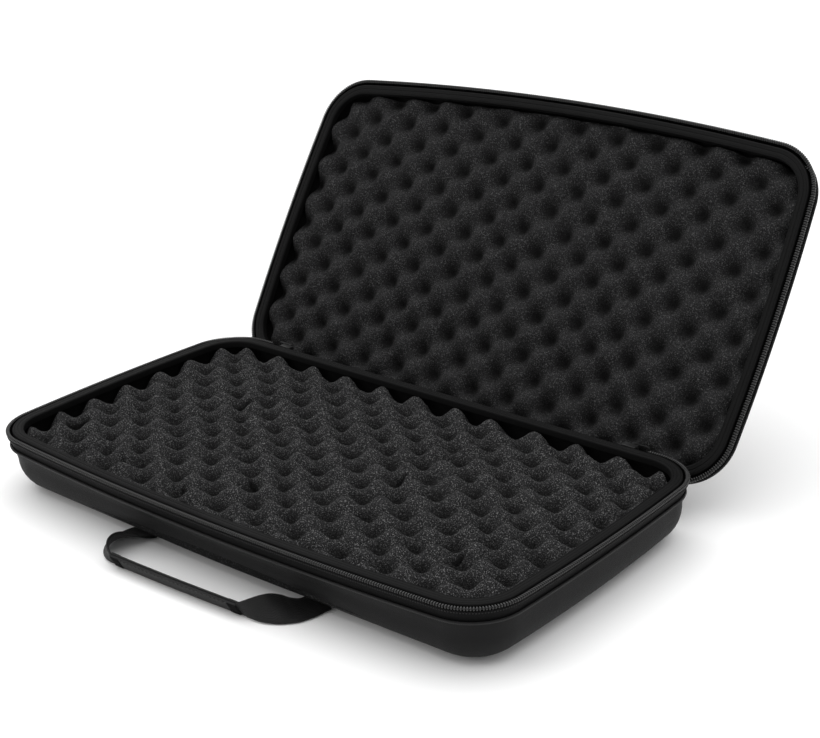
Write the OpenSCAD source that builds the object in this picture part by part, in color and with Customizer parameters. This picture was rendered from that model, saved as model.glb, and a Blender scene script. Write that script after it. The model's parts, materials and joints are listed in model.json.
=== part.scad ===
// Zipped hard-shell carry case for gaming miniatures, shown open.
// Millimetres, +Z up, front towards -Y. The origin is on the floor, under the middle of the base.

/* [Case] */
// Length over the zip edge
case_l = 480; // [400:5:560]
// Width over the zip edge, front to back
case_w = 274; // [220:2:330]
// Height of the bottom half, floor to parting plane
base_h = 50; // [42:1:80]
// Height of the lid half, parting plane to its top
lid_h = 23; // [20:1:40]
// Corner radius of the zip edge
corner_r = 42; // [36:1:60]
// Outward bow of the front edge of the rim
front_bow = 12; // [2:1:18]
// Outward bow of the front edge of the base
base_bow = 3.5; // [1:0.5:10]
// Outward bow of the short sides
side_bow = 4.8; // [1:0.2:10]
// Outward bow of the hinge edge
back_bow = 0.8; // [0.4:0.1:2]

/* [Shell] */
// Thickness of the moulded shell
shell_t = 3; // [2:0.25:5]
// Distance from the zip edge in to the wall
wall_inset = 5; // [5:0.5:7]
// Radius between the wall and the base
base_edge_r = 26; // [12:1:30]
// Radius between the lid's wall and its top
lid_edge_r = 14; // [8:1:14]
// Thickness of the cloth lining
lining_t = 0.6; // [0.4:0.1:1.2]

/* [Rim] */
// Width of the bound rim that covers the wall's edge
binding_w = 8; // [6:0.5:12]
// Height of the bound rim
binding_h = 5.5; // [4:0.5:8]
// Gap between each rim face and the parting plane
parting_gap = 0.3; // [0.2:0.05:0.6]
// Width of one half of the zip coil
coil_w = 3.4; // [2.6:0.1:3.6]
// Height of one half of the zip coil
coil_h = 2.8; // [2:0.1:4]
// Thickness of the zip tape
tape_t = 1; // [0.6:0.1:1.2]
// Distance from the parting plane to the tape's seam
seam_drop = 12.5; // [10:0.5:15]
// Diameter of the piping along the seam
piping_d = 1.8; // [1.2:0.1:2.4]

/* [Foam] */
// Space between the foam and the bound rim
foam_gap = 1; // [0.5:0.25:3]
// Depth of the bottom foam's middle level below the parting plane
base_foam_drop = 13; // [10:0.5:20]
// Depth of the lid foam's middle level below the parting plane
lid_foam_drop = 10; // [8:0.5:12]

/* [Hinge] */
// Angle that the lid stands open
lid_angle = 123; // [100:1:126]
// Distance from each end of the case to the fabric hinge strip
strip_side = 85; // [84:1:130]
// Thickness of the hinge strip
strip_t = 1.4; // [1:0.1:2]
// Clearance between fold lines and what turns beside them
fold_gap = 0.5; // [0.3:0.1:1]

/* [Sliders] */
// Length of a zip slider
slider_l = 11; // [9:0.5:14]
// Travel of a slider along the straight end of the zip
slider_travel = 9; // [6:1:12]
// Length of a pull tab past its pivot
pull_l = 13.5; // [10:0.5:14]
// Width of a pull tab
pull_w = 5; // [4:0.5:6]
// Thickness of a pull tab
pull_t = 1.6; // [1:0.1:2]
// Clearance around a slider
slider_gap = 0.3; // [0.2:0.05:0.5]

/* [Handle] */
// Distance between the middles of the two strap ends
strap_pitch = 168; // [120:2:220]
// Width of the webbing
webbing_w = 25; // [20:1:30]
// Thickness of the webbing
webbing_t = 1.6; // [1.2:0.1:2.2]
// Length of the folded grip
grip_l = 118; // [80:2:160]
// Distance from the strap's fold line out to the grip
handle_reach = 45; // [30:1:60]
// Sideways shift of the grip as it lies
grip_shift = -4; // [-20:1:20]
// Length of each sewn bar tack
tack_l = 8; // [5:0.5:12]

/* [Hidden] */

half_l = case_l / 2;
half_w = case_w / 2;
// Points along each stretch of the outline: front, corners and side
front_steps = 6;
corner_steps = 8;
side_steps = 5;
round_steps = 6;

// Soft edges of the bound rim and of the coil
binding_soft = 2.4;
coil_soft = 0.9;

// The open strip leans from the lid's wall just so far that it passes the bound rim at the fold clearance
strip_l = case_l - 2 * strip_side;
strip_out = fold_gap + strip_t / 2;
rim_reach = [wall_inset + strip_out, seam_drop - parting_gap - binding_soft];
strip_lean = acos(strip_out / norm(rim_reach)) - atan2(rim_reach[1], rim_reach[0]);
strip_angle = lid_angle + strip_lean;

// Folding lines of the hinge strip, closed and open
fold_y = half_w + strip_out;
low_fold_z = base_h - seam_drop;
strip_w = 2 * seam_drop;
open_fold_y = fold_y + strip_w * sin(strip_angle);
open_fold_z = low_fold_z + strip_w * cos(strip_angle);

// Flanges sewn to both halves, which carry the strip's fold lines
flange_t = 3;
flange_top = seam_drop + 2 * fold_gap + strip_t / 2;
flange_gap = 0.2;

// Insets from the zip edge
binding_inset = wall_inset + binding_w;
foam_inset = binding_inset + foam_gap;
coil_side = 0.3;

// The tape slants from the wall, above its sewn edge, out to the coil
tape_sewn = 1;
tape_bend = 2;
tape_top_inset = coil_side + 0.9;

// Clearance between the lining and the foam, and round the strap anchors
foam_clear = 0.3;
anchor_clear = 0.4;

// Ends of the tape and the coil on the hinge edge, past the strip and past the slider's travel
end_gap = 0.7;
tape_end_x = strip_l / 2 + 1;
slider_x = tape_end_x + pull_l + slider_gap + end_gap;
coil_end_x = slider_x + slider_travel + slider_l / 2 + end_gap;

// Slider and its pull: lips either side of the tape's slot, and a lug out to the pivot
slider_h = 4.8;
slider_top_z = base_h - parting_gap - 0.1;
slider_in = 4.6;
slider_out = 1;
slot_in = 3.6;
slot_out = 0.9;
slot_top_z = base_h - coil_h - parting_gap + slider_gap;
lug_h = 1.8;
lug_r = 1.5;
pivot_z = slider_top_z - pull_w / 2 - 0.3;
pivot_out = 2.9;
pin_r = 0.6;
pin_running = 0.06;
fork_gap = 0.2;
pull_hole_r = 1.1;

// Handle strap: how high it lies, how it leaves its roots and how it comes into the grip
strap_lift = 0.2;
grip_tilt = 40;
strap_steps = 10;
strap_lead = 22;
left_loop = 10;
left_lead = 24;
right_lead = 16;
fold_start = 0.55;
rounding_y = -(half_w - front_bow + base_bow) + wall_inset + base_edge_r;
root_rise = webbing_t + strap_lift + 0.6;
root_y = rounding_y - sqrt(pow(base_edge_r, 2) - pow(base_edge_r - root_rise, 2));
root_z = strap_lift + webbing_t / 2;
grip_w = webbing_w / 2;
grip_t = 2 * webbing_t;
grip_y = root_y - handle_reach;
grip_z = strap_lift + grip_w / 2 * sin(grip_tilt) + grip_t / 2 * cos(grip_tilt);
tack_thread = 0.5;
tack_side = 0.5;

// Patches that hold the strap's ends, just behind the start of the base's rounding
anchor_l = 34;
anchor_w = 20;
anchor_t = 1.2;
anchor_back = 1;

// Radius of an arc from its half chord and its rise
function arc_radius(chord, rise) = (chord * chord + rise * rise) / (2 * rise);

// Points along an arc, without its last point
function arc_points(centre, r, from, to, steps) =
    [for (i = [0:steps - 1]) let (a = from + (to - from) * i / steps) centre + r * [cos(a), sin(a)]];

// Centre of a corner arc that runs into two larger arcs; side is 1 at the back and -1 at the front
function corner_centre(c1, r1, c2, r2, r, side) =
    let (gap = norm(c2 - c1), e = (c2 - c1) / gap)
    let (along = ((r1 - r) * (r1 - r) - (r2 - r) * (r2 - r) + gap * gap) / (2 * gap))
    let (across = sqrt(max((r1 - r) * (r1 - r) - along * along, 0)))
    let (n = [-e[1], e[0]], a = c1 + e * along + n * across, b = c1 + e * along - n * across)
    (a[0] + side * a[1] > b[0] + side * b[1]) ? a : b;

// How far the bowed hinge edge lies behind its middle at the slider
back_sag = half_w - back_point(0, slider_x)[1];

function heading(from, to) = atan2(to[1] - from[1], to[0] - from[0]);

// Right half of the case's outline without its last point, from the front's middle to the back corner
function right_side(inset, bow) =
    let (a = half_l - inset, back = half_w - inset, front = half_w - inset - front_bow + bow)
    let (r = max(corner_r - inset, 2), mid = (back - front) / 2)
    let (rs = arc_radius((back + front) / 2, side_bow))
    let (rf = arc_radius(a, bow), rb = arc_radius(a, back_bow))
    let (cs = [a - rs, mid], cf = [0, -front + rf], cb = [0, back - rb])
    let (kf = corner_centre(cf, rf, cs, rs, r, -1), kb = corner_centre(cb, rb, cs, rs, r, 1))
    concat(
        arc_points(cf, rf, -90, heading(cf, kf), front_steps),
        arc_points(kf, r, heading(cf, kf), heading(cs, kf), corner_steps),
        arc_points(cs, rs, heading(cs, kf), heading(cs, kb), side_steps),
        arc_points(kb, r, heading(cs, kb), heading(cb, kb), corner_steps),
        [cb + rb * [cos(heading(cb, kb)), sin(heading(cb, kb))]]);

// Point on the hinge edge at a distance x from the middle
function back_point(inset, x) =
    let (a = half_l - inset, rb = arc_radius(a, back_bow))
    [x, half_w - inset - rb + sqrt(rb * rb - x * x)];

function mirrored(points) = [for (i = [len(points) - 1:-1:1]) [-points[i][0], points[i][1]]];
function raised(points, z) = [for (p = points) [p[0], p[1], z]];

// Whole outline, or the part of it that the zip follows up to end_x on the hinge edge
function outline(inset, bow) =
    let (right = right_side(inset, bow))
    concat(right, [back_point(inset, 0)], mirrored(right));
function zip_line(inset, bow, end_x) =
    let (right = right_side(inset, bow))
    concat([back_point(inset, -end_x)], mirrored(right), right, [back_point(inset, end_x)]);

// Bow of the front wall at a height: the base's at the rounding, the rim's at the seam
function share(z, low, high) = min(max((z - low) / (high - low), 0), 1);
function bow_at(z, edge_z, low_bow) =
    low_bow + (front_bow - low_bow) * share(z, edge_z, max(base_h - seam_drop, edge_z + 1));

// Faces between rings of n points each; wrap joins the last ring to the first.
// From the ring turn on, the quads are cut the other way, so that nested skins meet face to face.
function ring_faces(rings, n, wrap, closed, turn) = [
    for (i = [0:rings - (wrap ? 1 : 2)]) for (j = [0:n - (closed ? 1 : 2)])
        let (i2 = (i + 1) % rings, j2 = (j + 1) % n)
        let (a = i * n + j, b = i2 * n + j, c = i2 * n + j2, d = i * n + j2)
        for (f = i < turn ? [[a, b, c], [a, c, d]] : [[a, b, d], [b, c, d]]) f];

// Closed form through levels of [inset, z, bow], capped at both ends
module loft(levels, turn) {
    n = len(outline(0, 1));
    m = len(levels);
    points = [for (v = levels) for (p = raised(outline(v[0], v[2]), v[1])) p];
    low_cap = [[for (j = [0:n - 1]) j]];
    high_cap = [[for (j = [n - 1:-1:0]) (m - 1) * n + j]];
    polyhedron(points, concat(ring_faces(m, n, false, true, turn), low_cap, high_cap), 4);
}

// Ring all round the outline with a profile of [inset, z]
module rim_ring(profile) {
    n = len(outline(0, 1));
    points = [for (v = profile) for (p = raised(outline(v[0], front_bow), v[1])) p];
    polyhedron(points, ring_faces(len(profile), n, true, true, len(profile)), 4);
}

// Length of a profile of [inset, z] along the zip's line, with flat ends
module zip_ring(profile, end_x) {
    n = len(zip_line(0, 1, end_x));
    m = len(profile);
    points = [for (v = profile) for (p = raised(zip_line(v[0], front_bow, end_x), v[1])) p];
    start_cap = [[for (i = [m - 1:-1:0]) i * n]];
    end_cap = [[for (i = [0:m - 1]) i * n + n - 1]];
    polyhedron(points, concat(ring_faces(m, n, true, false, m), start_cap, end_cap), 4);
}

// Levels of the rounding between floor and wall at a depth in from the outer face
function round_levels(depth, edge_r, low_bow, in) =
    let (floor_z = base_h - depth, r = edge_r - in)
    [for (i = [0:round_steps]) let (a = 90 * i / round_steps, z = floor_z + edge_r - r * cos(a))
        [wall_inset + edge_r - r * sin(a), z, bow_at(z, floor_z + edge_r, low_bow)]];

// Levels of the wall above the rounding, up to top_z
function wall_levels(depth, edge_r, low_bow, in, top_z) =
    let (edge_z = base_h - depth + edge_r, seam_z = max(base_h - seam_drop, edge_z + 1))
    [for (z = [seam_z, top_z]) if (z <= top_z) [wall_inset + in, z, bow_at(z, edge_z, low_bow)]];

function reversed(list) = [for (i = [len(list) - 1:-1:0]) list[i]];

binding_low_z = base_h - parting_gap - binding_h;

// Skin of even thickness between two depths in from the outer face
module half_skin(depth, edge_r, low_bow, out, in) {
    outer = concat(
        round_levels(depth, edge_r, low_bow, out),
        wall_levels(depth, edge_r, low_bow, out, binding_low_z));
    inner = concat(
        round_levels(depth, edge_r, low_bow, in),
        wall_levels(depth, edge_r, low_bow, in, binding_low_z));
    loft(concat(outer, reversed(inner)), len(outer));
}

// Foam pad between the lining and its middle level
module half_foam(depth, edge_r, low_bow, drop) {
    r = edge_r - shell_t - lining_t - foam_clear;
    centre = wall_inset + edge_r;
    floor_z = base_h - depth;
    last = asin(min((centre - foam_inset) / r, 1));
    low = [for (i = [0:3]) let (a = last * i / 3, z = floor_z + edge_r - r * cos(a))
        [max(centre - r * sin(a), foam_inset), z, bow_at(z, floor_z + edge_r, low_bow)]];
    top_z = base_h - drop;
    seam_z = max(base_h - seam_drop, floor_z + edge_r + 1);
    middle = seam_z < top_z ? [[foam_inset, seam_z, front_bow]] : [];
    levels = concat(low, middle, [[foam_inset, top_z, bow_at(top_z, floor_z + edge_r, low_bow)]]);
    loft(levels, len(levels));
}

// Inset of a half's outer face at a distance below the parting plane
function face_inset(depth, edge_r, below) =
    let (into = max(below - depth + edge_r, 0))
    wall_inset + edge_r - sqrt(pow(edge_r, 2) - pow(into, 2));

module rim_binding() {
    top_z = base_h - parting_gap;
    soft_z = top_z - binding_soft;
    rim_ring([
        [wall_inset, binding_low_z], [wall_inset, soft_z], [wall_inset + binding_soft, top_z],
        [binding_inset - binding_soft, top_z], [binding_inset, soft_z], [binding_inset, binding_low_z]]);
}

module zip_coil() {
    top_z = base_h - parting_gap;
    low_z = top_z - coil_h;
    outer = coil_side;
    inner = coil_side + coil_w;
    flat_outer = outer + coil_soft;
    flat_inner = inner - coil_soft;
    zip_ring([
        [outer, low_z + coil_soft], [outer, top_z - coil_soft], [flat_outer, top_z], [flat_inner, top_z],
        [inner, top_z - coil_soft], [inner, low_z + coil_soft], [flat_inner, low_z], [flat_outer, low_z]],
        coil_end_x);
}

// Tape from the coil down to the wall, where its sewn edge hangs along the half's face
module zip_tape(depth, edge_r) {
    top_z = base_h - parting_gap - coil_h;
    low_z = base_h - seam_drop - tape_sewn;
    bend_z = base_h - seam_drop + tape_bend;
    inner = face_inset(depth, edge_r, seam_drop - tape_bend);
    outer = inner - tape_t;
    zip_ring([
        [outer, low_z], [outer, bend_z], [tape_top_inset, top_z],
        [tape_top_inset + tape_t, top_z], [inner, bend_z], [inner, low_z]], tape_end_x);
}

module seam_piping(depth, edge_r) {
    r = piping_d / 2;
    centre = face_inset(depth, edge_r, seam_drop - tape_bend) - tape_t - r;
    zip_ring([for (a = [0:60:300]) [centre - r * cos(a), base_h - seam_drop + r * sin(a)]], tape_end_x);
}

// Flange along the hinge edge, from the half's outer face out to the strip
module hinge_flange(depth, edge_r) {
    flange_low = flange_top + flange_t;
    edge_y = fold_y - strip_t / 2 - flange_gap;
    rotate([90, 0, 90]) linear_extrude(strip_l, center = true) polygon([
        [half_w - face_inset(depth, edge_r, flange_top), base_h - flange_top],
        [half_w - face_inset(depth, edge_r, flange_low), base_h - flange_low],
        [edge_y, base_h - flange_low],
        [edge_y, base_h - flange_top]]);
}

// Places a half built about the parting plane as the open lid
module open_lid() {
    translate([0, open_fold_y, open_fold_z])
        rotate([-lid_angle, 0, 0])
            translate([0, -fold_y, -base_h - seam_drop])
                translate([0, 0, 2 * base_h]) mirror([0, 0, 1]) children();
}

module bottom_shell() { color("#26272a") half_skin(base_h, base_edge_r, base_bow, 0, shell_t); }
module bottom_lining() {
    color("#1d1d1f") half_skin(base_h, base_edge_r, base_bow, shell_t, shell_t + lining_t);
}
module bottom_foam() {
    color("#343438") difference() {
        half_foam(base_h, base_edge_r, base_bow, base_foam_drop);
        for (side = [-1, 1]) strap_anchor(side, anchor_clear);
    }
}
module bottom_rim_binding() { color("#202022") rim_binding(); }
module bottom_zip_tape() { color("#232325") zip_tape(base_h, base_edge_r); }
module bottom_zip_coil() { color("#3c3c40") zip_coil(); }
module bottom_seam_piping() { color("#2c2c2f") seam_piping(base_h, base_edge_r); }
module bottom_hinge_flange() { color("#222224") hinge_flange(base_h, base_edge_r); }

// Patch sewn inside the shell that holds one end of the handle's strap
module strap_anchor(side, clear) {
    corner = [side * strap_pitch / 2 - anchor_l / 2, rounding_y + anchor_back, shell_t + lining_t];
    translate(corner - clear * [1, 1, 1])
        cube([anchor_l + 2 * clear, anchor_w + 2 * clear, anchor_t + 2 * clear]);
}
module left_strap_anchor() { color("#1f1f21") strap_anchor(-1, 0); }
module right_strap_anchor() { color("#1f1f21") strap_anchor(1, 0); }

module lid_shell() { color("#26272a") open_lid() half_skin(lid_h, lid_edge_r, front_bow, 0, shell_t); }
module lid_lining() {
    color("#1d1d1f") open_lid() half_skin(lid_h, lid_edge_r, front_bow, shell_t, shell_t + lining_t);
}
module lid_foam() { color("#2a2a2d") open_lid() half_foam(lid_h, lid_edge_r, front_bow, lid_foam_drop); }
module lid_rim_binding() { color("#202022") open_lid() rim_binding(); }
module lid_zip_tape() { color("#232325") open_lid() zip_tape(lid_h, lid_edge_r); }
module lid_zip_coil() { color("#3c3c40") open_lid() zip_coil(); }
module lid_seam_piping() { color("#2c2c2f") open_lid() seam_piping(lid_h, lid_edge_r); }
module lid_hinge_flange() { color("#222224") open_lid() hinge_flange(lid_h, lid_edge_r); }

module hinge_strip() {
    color("#1e1e20") translate([0, fold_y, low_fold_z]) rotate([-strip_angle, 0, 0])
        translate([-strip_l / 2, -strip_t / 2, fold_gap]) cube([strip_l, strip_t, strip_w - 2 * fold_gap]);
}

// Slider on the straight end of the zip, with a slot for the tape and a lug for the pull
module zip_slider(side) {
    low_z = slider_top_z - slider_h;
    back_y = half_w - back_sag;
    color("#4a4a4e") translate([side * slider_x, 0, 0]) difference() {
        union() {
            translate([-slider_l / 2, back_y - slider_in, low_z])
                cube([slider_l, slider_in + slider_out, slider_h]);
            translate([0, half_w + pivot_out, pivot_z - lug_h / 2])
                cylinder(r = lug_r, h = lug_h, $fn = 32);
            translate([-lug_r, back_y, pivot_z - lug_h / 2])
                cube([2 * lug_r, back_sag + pivot_out, lug_h]);
        }
        translate([-slider_l, back_y - slot_in, low_z - 1])
            cube([2 * slider_l, slot_in - slot_out, slot_top_z - low_z + 1]);
        translate([0, half_w + pivot_out, low_z - 1])
            cylinder(r = pin_r, h = slider_h + 2, $fn = 32);
    }
}
module left_zip_slider() { zip_slider(-1); }
module right_zip_slider() { zip_slider(1); }

// Pin through the slider's lug and the fork of the pull
module pull_pin(side) {
    color("#5a5a5e") translate([side * slider_x, half_w + pivot_out, pivot_z - pull_w / 2])
        cylinder(r = pin_r, h = pull_w, $fn = 32);
}
module left_pull_pin() { pull_pin(-1); }
module right_pull_pin() { pull_pin(1); }

// Pull tab that lies along the zip towards the corner, with a fork around the slider's lug
module pull_tab() {
    translate([slider_x, half_w + pivot_out, pivot_z]) difference() {
        union() {
            translate([0, 0, -pull_w / 2]) cylinder(r = lug_r, h = pull_w, $fn = 32);
            translate([0, -pull_t / 2, -pull_w / 2]) cube([pull_l - pull_w / 2, pull_t, pull_w]);
            translate([pull_l - pull_w / 2, pull_t / 2, 0]) rotate([90, 0, 0])
                cylinder(r = pull_w / 2, h = pull_t, $fn = 48);
        }
        translate([-2 * lug_r, -2 * lug_r, -lug_h / 2 - fork_gap])
            cube([3 * lug_r + 1, 4 * lug_r, lug_h + 2 * fork_gap]);
        translate([0, 0, -pull_w]) cylinder(r = pin_r + pin_running, h = 2 * pull_w, $fn = 32);
        translate([pull_l - pull_w / 2, pull_t, 0]) rotate([90, 0, 0])
            cylinder(r = pull_hole_r, h = 2 * pull_t, $fn = 32);
    }
}
module left_pull_tab() { color("#4a4a4e") mirror([1, 0, 0]) pull_tab(); }
module right_pull_tab() { color("#4a4a4e") pull_tab(); }

// Centre of the strap at s from 0 at its root to 1 at the grip
function bezier(a, b, c, d, s) =
    pow(1 - s, 3) * a + 3 * pow(1 - s, 2) * s * b + 3 * (1 - s) * s * s * c + pow(s, 3) * d;
function strap_plan(side, s) =
    let (root = [side * strap_pitch / 2, root_y], end = [grip_shift + side * grip_l / 2, grip_y])
    let (loop = side < 0 ? left_loop : 0, lead = side < 0 ? left_lead : right_lead)
    bezier(root, root + [side * loop, -strap_lead], end + [side * lead, 0], end, s);

// Half of the webbing's width as a vector, turning from flat at the root to the grip's tilt
function strap_half(side, s) =
    let (flat = [side, 0, 0], tilted = [0, -cos(grip_tilt), -sin(grip_tilt)])
    let (v = (1 - s) * flat + s * tilted, fold = share(s, fold_start, 1))
    v / norm(v) * (webbing_w / 2 * (1 - fold) + grip_w / 2 * fold);
function strap_centre(side, s) =
    let (p = strap_plan(side, s), h = strap_half(side, s))
    [p[0], p[1], root_z + abs(h[2])];

module strap(side) {
    stations = [for (i = [0:strap_steps]) let (s = i / strap_steps)
        let (c = strap_centre(side, s), h = strap_half(side, s))
        let (ahead = strap_centre(side, min(s + 0.02, 1)) - strap_centre(side, max(s - 0.02, 0)))
        let (up = cross(h, ahead) * side, n = up / norm(up) * webbing_t / 2)
        [c - h - n, c - h + n, c + h + n, c + h - n]];
    points = [for (q = stations) for (p = q) p];
    low_cap = [side > 0 ? [0, 1, 2, 3] : [3, 2, 1, 0]];
    m = len(stations);
    high_cap = [[for (j = [0:3]) side > 0 ? (m - 1) * 4 + 3 - j : (m - 1) * 4 + j]];
    sides = [for (f = ring_faces(m, 4, false, true, m)) side > 0 ? f : [f[2], f[1], f[0]]];
    polyhedron(points, concat(low_cap, sides, high_cap), 4);
}
module left_strap() { color("#232325") strap(-1); }
module right_strap() { color("#232325") strap(1); }

// Places a box centred on the grip, tilted as the grip lies
module along_grip() {
    translate([grip_shift, grip_y, grip_z]) rotate([grip_tilt, 0, 0]) children();
}
module handle_grip() {
    color("#29292b") along_grip() cube([grip_l, grip_w, grip_t], center = true);
}

// Block of stitching round one end of the grip
module bar_tack(side) {
    color("#141415") along_grip() translate([side * (grip_l - tack_l) / 2, 0, 0]) difference() {
        cube([tack_l, grip_w - 2 * tack_side, grip_t + 2 * tack_thread], center = true);
        cube([tack_l + 1, grip_w, grip_t], center = true);
    }
}
module left_bar_tack() { bar_tack(-1); }
module right_bar_tack() { bar_tack(1); }

bottom_shell();
bottom_lining();
bottom_foam();
bottom_rim_binding();
bottom_zip_tape();
bottom_zip_coil();
bottom_seam_piping();
bottom_hinge_flange();
left_strap_anchor();
right_strap_anchor();
lid_shell();
lid_lining();
lid_foam();
lid_rim_binding();
lid_zip_tape();
lid_zip_coil();
lid_seam_piping();
lid_hinge_flange();
hinge_strip();
left_zip_slider();
right_zip_slider();
left_pull_tab();
right_pull_tab();
left_pull_pin();
right_pull_pin();
left_strap();
right_strap();
handle_grip();
left_bar_tack();
right_bar_tack();
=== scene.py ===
import json
import math
import random

import bmesh
import bpy
from mathutils import Matrix, Vector


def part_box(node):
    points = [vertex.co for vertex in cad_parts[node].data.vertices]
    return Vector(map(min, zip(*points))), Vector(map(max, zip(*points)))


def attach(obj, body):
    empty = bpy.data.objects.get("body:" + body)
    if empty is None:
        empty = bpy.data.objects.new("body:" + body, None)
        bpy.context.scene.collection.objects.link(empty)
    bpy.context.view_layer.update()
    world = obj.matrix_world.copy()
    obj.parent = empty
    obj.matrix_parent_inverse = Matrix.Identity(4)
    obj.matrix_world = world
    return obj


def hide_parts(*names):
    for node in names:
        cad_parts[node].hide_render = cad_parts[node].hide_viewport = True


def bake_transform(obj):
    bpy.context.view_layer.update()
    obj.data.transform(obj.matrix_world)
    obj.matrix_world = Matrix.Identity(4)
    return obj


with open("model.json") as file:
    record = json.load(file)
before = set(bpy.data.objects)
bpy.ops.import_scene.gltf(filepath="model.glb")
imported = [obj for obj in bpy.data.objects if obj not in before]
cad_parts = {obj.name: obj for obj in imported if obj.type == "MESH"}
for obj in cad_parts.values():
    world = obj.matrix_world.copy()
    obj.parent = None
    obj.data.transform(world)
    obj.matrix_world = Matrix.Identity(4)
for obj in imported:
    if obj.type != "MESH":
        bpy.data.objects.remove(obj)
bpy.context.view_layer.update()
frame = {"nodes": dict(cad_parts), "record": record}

scene = bpy.context.scene
record = frame["record"]
joints = {joint["name"]: joint for joint in record["behaviour"]["joints"]}
mm = 0.001


# Camera and studio

camera = {
    "azimuth": 40.01, "elevation": 21.78, "roll": -1.53, "distance": 1.4806,
    "lens": 72.93, "aim": (-0.1321, 0.2502, 0.0), "sensor": 36.0, "nearest": 0.05,
}


def makeCamera(settings):
    data = bpy.data.cameras.new("camera")
    data.lens = settings["lens"]
    data.sensor_width = settings["sensor"]
    data.clip_start = settings["nearest"]
    holder = bpy.data.objects.new("camera", data)
    scene.collection.objects.link(holder)
    turn, rise = math.radians(settings["azimuth"]), math.radians(settings["elevation"])
    away = Vector((math.sin(turn) * math.cos(rise), -math.cos(turn) * math.cos(rise), math.sin(rise)))
    right = Vector((math.cos(turn), math.sin(turn), 0.0))
    up = away.cross(right)
    roll = math.radians(settings["roll"])
    across = right * math.cos(roll) + up * math.sin(roll)
    above = up * math.cos(roll) - right * math.sin(roll)
    place = Vector(settings["aim"]) + away * settings["distance"]
    axes = Matrix((across, above, away)).transposed().to_4x4()
    holder.matrix_world = Matrix.Translation(place) @ axes
    scene.camera = holder


studio = {
    "floorSize": 30.0, "floorDrop": 0.0002, "floorColour": 0.95, "floorRough": 0.85, "floorGloss": 0.1,
    "skyStrength": 0.6,
    "sun": {"from": (-0.12, 0.12, 1.0), "strength": 2.3, "spread": 90},
    "lamps": [
        # name, place, size, power, colour
        ("lampFront", (-1.1, -1.3, 0.7), 0.7, 5.0, (1.0, 0.99, 0.98)),
        ("lampRight", (1.5, 0.1, 0.8), 0.7, 1.2, (0.98, 0.99, 1.0)),
    ],
}


# Lamp that shines from a place towards the object
def makeLamp(name, kind, power, place):
    data = bpy.data.lights.new(name, kind)
    data.energy = power
    lamp = bpy.data.objects.new(name, data)
    scene.collection.objects.link(lamp)
    lamp.rotation_euler = (-Vector(place)).to_track_quat("-Z", "Y").to_euler()
    return lamp


def makeStudio(settings):
    bpy.ops.mesh.primitive_plane_add(size=settings["floorSize"], location=(0, 0, -settings["floorDrop"]))
    floor = bpy.context.object
    floor.name = "floor"
    paint = bpy.data.materials.new("floorPaint")
    paint.use_nodes = True
    shader = paint.node_tree.nodes["Principled BSDF"]
    shader.inputs["Base Color"].default_value = (*[settings["floorColour"]] * 3, 1.0)
    shader.inputs["Roughness"].default_value = settings["floorRough"]
    shader.inputs["Specular IOR Level"].default_value = settings["floorGloss"]
    floor.data.materials.append(paint)
    world = bpy.data.worlds.new("sky")
    world.use_nodes = True
    sky = world.node_tree.nodes["Background"]
    sky.inputs["Color"].default_value = (1.0, 1.0, 1.0, 1.0)
    sky.inputs["Strength"].default_value = settings["skyStrength"]
    scene.world = world
    above = makeLamp("lampAbove", "SUN", settings["sun"]["strength"], settings["sun"]["from"])
    above.data.angle = math.radians(settings["sun"]["spread"])
    for name, place, size, power, colour in settings["lamps"]:
        lamp = makeLamp(name, "AREA", power, place)
        lamp.data.shape = "DISK"
        lamp.data.size = size
        lamp.data.color = colour
        lamp.location = place
    scene.view_settings.view_transform = "Standard"


makeCamera(camera)
makeStudio(studio)
print("stage: camera and studio")


# Places and sizes that come from the frame

outlineShape = {
    "corner": 0.042, "frontBow": 0.012, "baseBow": 0.0035, "sideBow": 0.0048, "backBow": 0.0008,
    "frontSteps": 30, "cornerSteps": 22, "sideSteps": 16, "backSteps": 24,
}
coilSide = 0.3 * mm
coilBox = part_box("bottom_zip_coil")
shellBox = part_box("bottom_shell")
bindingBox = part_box("bottom_rim_binding")
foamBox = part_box("bottom_foam")
halfLength = coilBox[1][0] + coilSide
wallInset = halfLength - shellBox[1][0]
halfWidth = bindingBox[1][1] + wallInset
partingGap = 0.3 * mm
partingZ = bindingBox[1][2] + partingGap
bindingInset = 13 * mm
foamInset = halfLength - foamBox[1][0]
foldY, foldZ = joints["strip_fold"]["pos_m"][1:]
openY, openZ = joints["lid_fold"]["pos_m"][1:]
seamDrop = partingZ - foldZ
lidAngle = math.radians(joints["strip_fold"]["range_deg"][1] + joints["lid_fold"]["range_deg"][0])


# Distance from the middle at which a zip part stops on the hinge edge
def hingeEdgeEnd(node):
    spots = [vertex.co for vertex in frame["nodes"][node].data.vertices]
    return min(abs(spot.x) for spot in spots if spot.y > halfWidth - 10 * mm)


coilEnd = hingeEdgeEnd("bottom_zip_coil")
tapeEnd = hingeEdgeEnd("bottom_zip_tape")


# Outline of the case: three bowed sides, a nearly straight hinge edge and round corners

def arcRadius(halfChord, rise):
    return (halfChord * halfChord + rise * rise) / (2 * rise)


# Points along an arc, without its last one
def arc(centre, radius, start, end, steps):
    turns = [start + (end - start) * step / steps for step in range(steps)]
    return [(centre[0] + radius * math.cos(turn), centre[1] + radius * math.sin(turn)) for turn in turns]


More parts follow.
